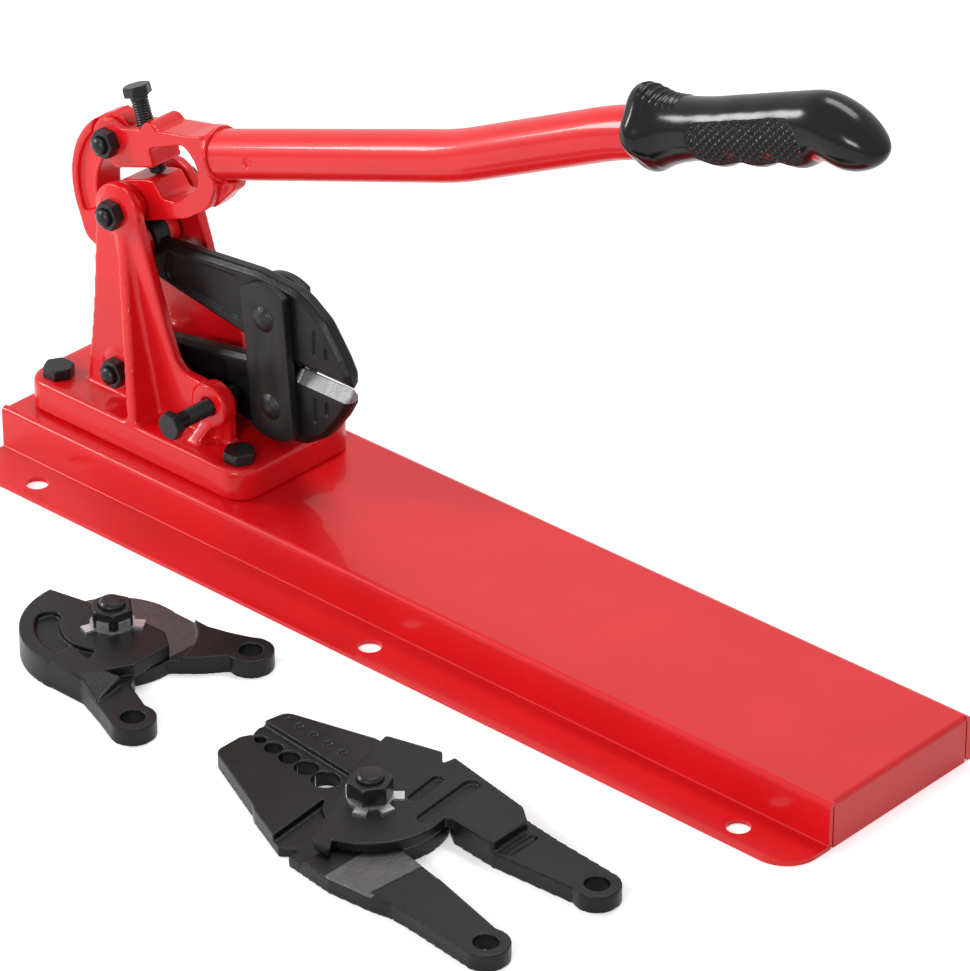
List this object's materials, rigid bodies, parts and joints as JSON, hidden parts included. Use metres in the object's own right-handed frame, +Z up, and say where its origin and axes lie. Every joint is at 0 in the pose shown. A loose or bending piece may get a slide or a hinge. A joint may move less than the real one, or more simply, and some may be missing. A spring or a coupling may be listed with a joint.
{
  "type": "bench bolt cutter",
  "caption": "Bench mounted lever cutter: folded base, cast stand, linked handle and cutting jaws, with a loose cable cutting head and a loose crimping head.",
  "frame": {"origin": "centre of the base's underside, on the bench, in the middle of the bench bolt pattern", "axes": "+X along the base from the stand towards the grip, +Z up off the bench, +Y across the base towards the pivot bolts' heads"},
  "size_m": [0.6, 0.3396, 0.3845],
  "materials": {
    "red_powder_coat": "gloss",
    "black_oxide": "satin",
    "black_painted_steel": "satin",
    "black_vinyl": "gloss",
    "zinc_plate": "bright"
  },
  "bodies": {
    "base": {"base_channel": "red_powder_coat", "stand_casting": "red_powder_coat", "stand_bolts": "black_oxide", "stand_washers": "zinc_plate", "stand_nuts": "black_oxide", "handle_pivot_bolt": "black_oxide", "handle_pivot_nut": "black_oxide", "lower_tail_bolt": "black_oxide", "lower_tail_nut": "black_oxide", "lower_jaw": "black_painted_steel"},
    "handle": {"handle_head": "red_powder_coat", "lever_tube": "red_powder_coat", "hand_grip": "black_vinyl", "link_pivot_bolt": "black_oxide", "link_pivot_nut": "black_oxide"},
    "adjuster": {"adjusting_bolt": "black_oxide"},
    "clamp": {"clamp_bolt": "black_oxide"},
    "link": {"pull_link": "red_powder_coat", "tail_pin": "black_oxide"},
    "straps": {"near_strap": "black_painted_steel", "far_strap": "black_painted_steel", "upper_strap_pin": "black_oxide", "lower_strap_pin": "black_oxide"},
    "jaw": {"upper_jaw": "black_painted_steel"},
    "cable_head": {"cable_fixed_lever": "black_painted_steel", "cable_pivot_bolt": "black_oxide", "cable_pivot_nut": "black_oxide", "cable_lock_washer": "zinc_plate"},
    "cable_moving_arm": {"cable_moving_lever": "black_painted_steel"},
    "crimp_head": {"crimp_upper_lever": "black_painted_steel", "crimp_pivot_bolt": "black_oxide", "crimp_pivot_nut": "black_oxide", "crimp_lock_washer": "zinc_plate"},
    "crimp_moving_arm": {"crimp_lower_lever": "black_painted_steel"}
  },
  "joints": [
    {"name": "handle_hinge", "type": "hinge", "parent": "base", "child": "handle", "pos_m": [-0.234, 0, 0.161], "axis": [0, -1, 0], "range_deg": [0, 55]},
    {"name": "link_hinge", "type": "hinge", "parent": "handle", "child": "link", "pos_m": [-0.252, 0, 0.193], "axis": [0, -1, 0], "range_deg": [-39.15, 0]},
    {"name": "strap_hinge", "type": "hinge", "parent": "base", "child": "straps", "pos_m": [-0.1323, 0, 0.072], "axis": [0, -1, 0], "range_deg": [0, 5.77]},
    {"name": "upper_jaw_hinge", "type": "hinge", "parent": "straps", "child": "jaw", "pos_m": [-0.1365, 0, 0.1245], "axis": [0, -1, 0], "range_deg": [0, 5.77]},
    {"name": "adjusting_bolt_slide", "type": "slide", "parent": "handle", "child": "adjuster", "axis": [-0.3156, 0, 0.9489], "range_m": [0, 0.012]},
    {"name": "clamp_bolt_slide", "type": "slide", "parent": "base", "child": "clamp", "axis": [0, -1, 0], "range_m": [0, 0.02]},
    {"name": "cable_head_lift", "type": "slide", "parent": "base", "child": "cable_head", "axis": [0, 0, 1], "range_m": [0, 0.25]},
    {"name": "cable_arm_hinge", "type": "hinge", "parent": "cable_head", "child": "cable_moving_arm", "pos_m": [-0.101, -0.164, 0], "axis": [0, 0, -1], "range_deg": [0, 25]},
    {"name": "crimp_head_lift", "type": "slide", "parent": "base", "child": "crimp_head", "axis": [0, 0, 1], "range_m": [0, 0.25]},
    {"name": "crimp_arm_hinge", "type": "hinge", "parent": "crimp_head", "child": "crimp_moving_arm", "pos_m": [0.113, -0.192, 0], "axis": [0, 0, 1], "range_deg": [0, 20]}
  ],
  "couplings": [
    {"joint": "link_hinge", "follows": "handle_hinge", "ratio": -0.7117},
    {"joint": "strap_hinge", "follows": "handle_hinge", "ratio": 0.10483},
    {"joint": "upper_jaw_hinge", "follows": "handle_hinge", "ratio": 0.10483}
  ]
}
